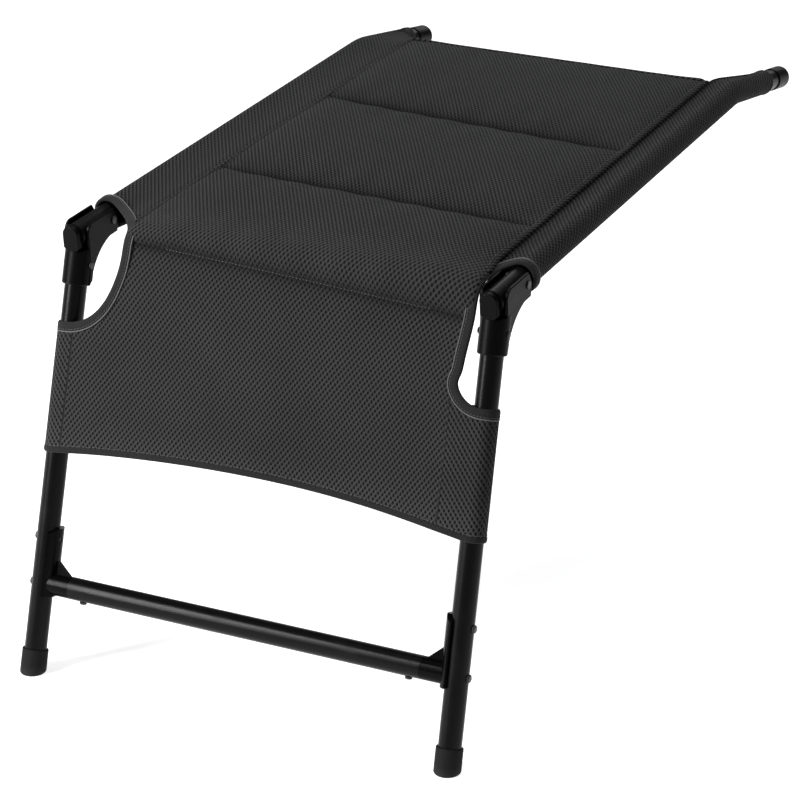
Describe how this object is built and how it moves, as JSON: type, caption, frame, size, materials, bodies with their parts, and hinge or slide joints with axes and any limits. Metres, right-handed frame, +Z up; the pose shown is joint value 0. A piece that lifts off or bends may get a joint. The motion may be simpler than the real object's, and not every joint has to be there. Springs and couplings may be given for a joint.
{
  "type": "folding leg rest",
  "caption": "Padded leg rest with a tube frame: bent side rails that a chair holds, a folding leg frame with a crossbar, and a mesh cover.",
  "frame": {"origin": "midway between the rear ends of the two side rails, on the rail axes", "axes": "+X to the right seen from the foot side, +Y towards the chair, +Z up with the feet on a level floor"},
  "size_m": [0.4798, 0.8569, 0.4934],
  "materials": {
    "coated_tube": "satin black powder coat",
    "moulded_black": "satin moulded nylon",
    "cast_black": "semi-gloss moulded black",
    "blackened_steel": "blackened",
    "foot_rubber": "matt",
    "mesh_fabric": "charcoal spacer mesh",
    "padded_mesh": "charcoal spacer mesh over foam"
  },
  "bodies": {
    "rails": {"left_rail": "coated_tube", "left_nose_plug": "moulded_black", "left_rail_cap": "moulded_black", "left_pivot_pin": "blackened_steel", "left_rail_sleeve": "mesh_fabric", "right_rail": "coated_tube", "right_nose_plug": "moulded_black", "right_rail_cap": "moulded_black", "right_pivot_pin": "blackened_steel", "right_rail_sleeve": "mesh_fabric", "seat_pad_front": "padded_mesh", "seat_pad_middle": "padded_mesh", "seat_pad_rear": "padded_mesh", "rear_hem": "mesh_fabric"},
    "leg_frame": {"left_hinge_bracket": "moulded_black", "left_leg": "coated_tube", "left_foot_cap": "foot_rubber", "left_corner_bracket": "cast_black", "left_leg_sleeve": "mesh_fabric", "right_hinge_bracket": "moulded_black", "right_leg": "coated_tube", "right_foot_cap": "foot_rubber", "right_corner_bracket": "cast_black", "right_leg_sleeve": "mesh_fabric", "crossbar": "coated_tube", "crossbar_screws": "blackened_steel", "corner_rivets": "blackened_steel", "bracket_rivets": "blackened_steel", "apron": "mesh_fabric", "apron_hem": "mesh_fabric"}
  },
  "joints": [
    {"name": "leg_fold", "type": "hinge", "parent": "rails", "child": "leg_frame", "pos_m": [0, -0.68913, -0.03682], "axis": [1, 0, 0], "range_deg": [0, 106]}
  ]
}
